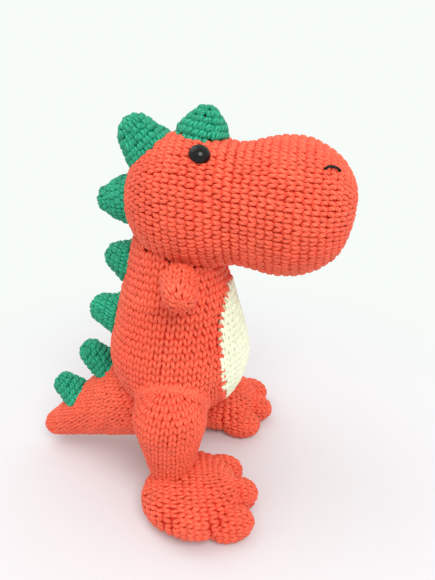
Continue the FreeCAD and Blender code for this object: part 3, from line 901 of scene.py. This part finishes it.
for _ in range(20):
    rim = patchRing(1, 0)
    edge *= (1 / np.sqrt(panelTest(rim))) ** 0.7
patch = [patchRing(share, panel["proud"] - 1.0) for share in (0.06, 0.3, 0.5, 0.7, 0.85, 0.95)]
patch += [patchRing(1.0, 0.1)] + [patchRing(share, -1.2) for share in (0.98, 0.5, 0.06)]
panelGround = skinsMesh("belly_ground", [np.stack(patch)])
panelKnit = crocheted("belly_panel_knit", panelStitches, panelGround, coverStitch, yarns["cream"],
                      panel["wobble"], 7)
settle(panelKnit, "torso", ["belly_panel"])
rimWhips = uneven(whipsAround(rim, pearShape, pearShape, seam["panelEvery"]), seam["panelJitter"], 17)
panelSeam = crocheted("belly_panel_seam", rimWhips, newMesh("none", [], []), whip, yarns["coral"],
                      seam["panelWobble"], 19)
settle(panelSeam, "torso", [])

print("tail")
tailStitches = stitchesOver(tailShape, tailRoot, tailTip, tail)
tailStitches = outsideOf(uneven(tailStitches, tail["jitter"], 6), [pearShape], tail["hidden"])
tailGround = skinsMesh("tail_ground", [groundOf(tailShape, tailRoot, tailTip)])
tailKnit = crocheted("tail_knit", tailStitches, tailGround, coverStitch, yarns["coral"], tail["wobble"], 9)
settle(tailKnit, "tail", ["tail_cover"])
stuffed("tail", tailShape, tailRoot, tailTip, "tail")

print("legs and feet")
for side in (rightSide, leftSide):
    word, limb = words[side], legs[side]
    footShapes = [part[0] for part in feet[side]]
    stitches = stitchesOver(limb["shape"], limb["hip"], limb["ankle"], leg)
    stitches = pulledOnto(stitches, limb["sewn"])
    stitches = outsideOf(uneven(stitches, leg["jitter"], 8 + side), footShapes + [tailShape], leg["hidden"])
    own = limb["shape"](stitches["at"]) < pearShape(stitches["at"]) + 1.3
    stitches = only(stitches, own & (side * (stitches["at"][:, 0] - middleX) > leg["keel"] - 1.5))
    ground = skinsMesh(word + "_leg_ground", [groundOf(limb["under"], limb["hip"], limb["ankle"])])
    knit = crocheted(word + "_leg_knit", stitches, ground, coverStitch, yarns["coral"], leg["wobble"], 21 + side)
    bend = [tuple(limb["hip"][:2] * 0.001) + (leg[key] * 0.001,) for key in ("bendFrom", "bendTo")]
    bodies = ("torso", word + "_leg", *bend)
    settle(knit, bodies, [word + "_leg_cover"])
    stuffed(word + "_leg", limb["shape"], limb["hip"], limb["ankle"] + np.array([0, 0, 6.0]), bodies)

    groups, skins = [], []
    for i, (shape, start, end) in enumerate(feet[side]):
        part = stitchesOver(shape, start, end, foot)
        others = [s for j, s in enumerate(footShapes) if j != i] + [limb["shape"]]
        groups.append(outsideOf(uneven(part, foot["jitter"], 12 + i + 4 * side), others, foot["hidden"]))
        skins.append(groundOf(shape, start, end))
    ground = skinsMesh(word + "_foot_ground", skins)
    knit = crocheted(word + "_foot_knit", together(groups), ground, coverStitch, yarns["coral"],
                     foot["wobble"], 31 + side)
    settle(knit, word + "_leg", [word + "_foot_cover"])
    stuffed(word + "_foot", footShapes[0], feet[side][0][1], feet[side][0][2], word + "_leg")

print("arms")
for side in (rightSide, leftSide):
    word = words[side]
    base = pivots[word + "_arm_swing"]
    level, forward = cos(radians(arm["down"])), radians(arm["forward"])
    way = np.array([side * level * cos(forward), -level * sin(forward), -sin(radians(arm["down"]))])
    hand = base + way * arm["long"]
    shape = roundedCone(base, hand, arm["radius"], arm["radius"] - 0.4)
    stitches = stitchesOver(shape, base, hand, arm)
    stitches = outsideOf(uneven(stitches, arm["jitter"], 30 + side), [pearShape], arm["hidden"])
    ground = skinsMesh(word + "_arm_ground", [groundOf(shape, base, hand)])
    knit = crocheted(word + "_arm_knit", stitches, ground, coverStitch, yarns["coral"], arm["wobble"], 41 + side)
    settle(knit, word + "_arm", [word + "_arm_cover"])
    stuffed(word + "_arm", shape, base, hand, word + "_arm")
    line = seamLine(aroundSpine(shape, base, hand), pearShape, arm["seamAbove"])
    whips = uneven(whipsAround(line, pearShape, shape, seam["armEvery"]), seam["armJitter"], 50 + side)
    sewn = crocheted(word + "_arm_seam", whips, newMesh("none", [], []), whip, yarns["coral"], seam["armWobble"], 51)
    settle(sewn, "torso", [])

print("eyes, washers and nostrils")
for word in ("right", "left"):
    for node, material in ((word + "_eye", eyePlastic), (word + "_eye_washer", washerPlastic)):
        for holder in frame["nodes"][node].material_slots:
            holder.material = material

nostril = {"bend": 10.0, "arc": 68.0, "tilt": 20.0, "rise": 41.5, "forward": 49.0,
           "plies": 3, "plyRadius": 0.42, "proud": 0.75}
for side in (rightSide, leftSide):
    word = words[side]
    up, front = radians(nostril["rise"]), radians(nostril["forward"])
    out = np.array([side * cos(up) * cos(front), -cos(up) * sin(front), sin(up)])
    backward = side * np.cross(out, (0, 0, 1)) * -1
    backward /= np.linalg.norm(backward)
    high = np.array([0, 0, 1]) - out * out[2]
    high /= np.linalg.norm(high)
    plies = [[] for _ in range(nostril["plies"])]
    steps = np.linspace(-1, 1, 25)
    for i, step in enumerate(steps):
        a = radians(90 + step * nostril["arc"] / 2)
        flat = np.array([cos(a), sin(a) - 1]) * nostril["bend"]
        tilt = radians(nostril["tilt"])
        flat = (flat[0] * cos(tilt) - flat[1] * sin(tilt), flat[0] * sin(tilt) + flat[1] * cos(tilt))
        way = out * 40 + backward * flat[0] + high * flat[1]
        way /= np.linalg.norm(way)
        spot = castOnto(headShape, snout, way) + way * (nostril["proud"] - 2.2 * abs(step) ** 10)
        for ply, path in enumerate(plies):
            spin = i * 0.55 + 2 * pi * ply / nostril["plies"]
            path.append(spot + (high * cos(spin) + out * sin(spin)) * nostril["plyRadius"] * 0.85)
    strands = [strand(path, [nostril["plyRadius"]] * len(path), 6) for path in plies]
    piece = newObject(word + "_nostril_yarn", yarnMesh(word + "_nostril_yarn", strands))
    piece.data.materials.append(yarns["black"])
    settle(piece, "head", [word + "_nostril"])

for thing in (coverStitch, bobble, whip):
    bpy.data.objects.remove(thing)

print("floor, light and camera")
backdropColour = colourOf(247, 252, 248)
floorMesh = newMesh("floor", [(-3000, -3000, 0), (3000, -3000, 0), (3000, 3000, 0), (-3000, 3000, 0)],
                    [(0, 1, 2, 3)], False)
floorObject = newObject("floor", floorMesh)
floorMaterial, floorTree, floorShader = nodeTree("paleFloor")
floorShader.inputs["Base Color"].default_value = colourOf(222, 219, 223)
floorShader.inputs["Roughness"].default_value = 0.8
floorShader.inputs["Specular IOR Level"].default_value = 0.1
# far off, the floor turns into the backdrop without a line
floorPlace = floorTree.nodes.new("ShaderNodeTexCoord")
floorLength = floorTree.nodes.new("ShaderNodeVectorMath")
floorLength.operation = "LENGTH"
floorTree.links.new(floorPlace.outputs["Object"], floorLength.inputs[0])
farOff = spreadOf(floorTree, floorLength.outputs["Value"], 0.12, 0.36, 0.0, 1.0)    # metres from the middle
glow, blended = floorTree.nodes.new("ShaderNodeEmission"), floorTree.nodes.new("ShaderNodeMixShader")
glow.inputs["Color"].default_value = backdropColour
floorTree.links.new(farOff, blended.inputs["Fac"])
floorTree.links.new(floorShader.outputs["BSDF"], blended.inputs[1])
floorTree.links.new(glow.outputs[0], blended.inputs[2])
floorOutput = next(node for node in floorTree.nodes if node.type == "OUTPUT_MATERIAL")
floorTree.links.new(blended.outputs[0], floorOutput.inputs["Surface"])
floorMesh.materials.append(floorMaterial)

world = bpy.data.worlds.new("studio")
world.use_nodes = True
world.node_tree.nodes["Background"].inputs[0].default_value = backdropColour
world.node_tree.nodes["Background"].inputs[1].default_value = 1.0
bpy.context.scene.world = world


def softBox(name, at, aim, size, power):
    light = bpy.data.lights.new(name, "AREA")
    light.shape, light.size, light.energy = "DISK", size, power
    thing = newObject(name, light)
    thing.location = at
    thing.rotation_euler = (Vector(aim) - Vector(at)).to_track_quat("-Z", "Y").to_euler()
    return thing


softBox("keyLight", (-0.55, -0.35, 0.85), (0, 0, 0.1), size=0.5, power=4.5)
softBox("topLight", (0.1, 0.5, 1.0), (0, 0, 0.1), size=0.8, power=2.0)

view = {"fromNeck": (-0.2570, -0.0599, 0.0642), "pitch": 66, "turn": -80, "lens": 30.91}    # metres, degrees, mm
camera = bpy.data.objects.new("camera", bpy.data.cameras.new("camera"))
bpy.context.scene.collection.objects.link(camera)
camera.location = Vector(neck * 0.001) + Vector(view["fromNeck"])
camera.rotation_euler = (radians(view["pitch"]), 0, radians(view["turn"]))
camera.data.lens = view["lens"]
bpy.context.scene.camera = camera
bpy.context.scene.view_settings.view_transform = "Standard"
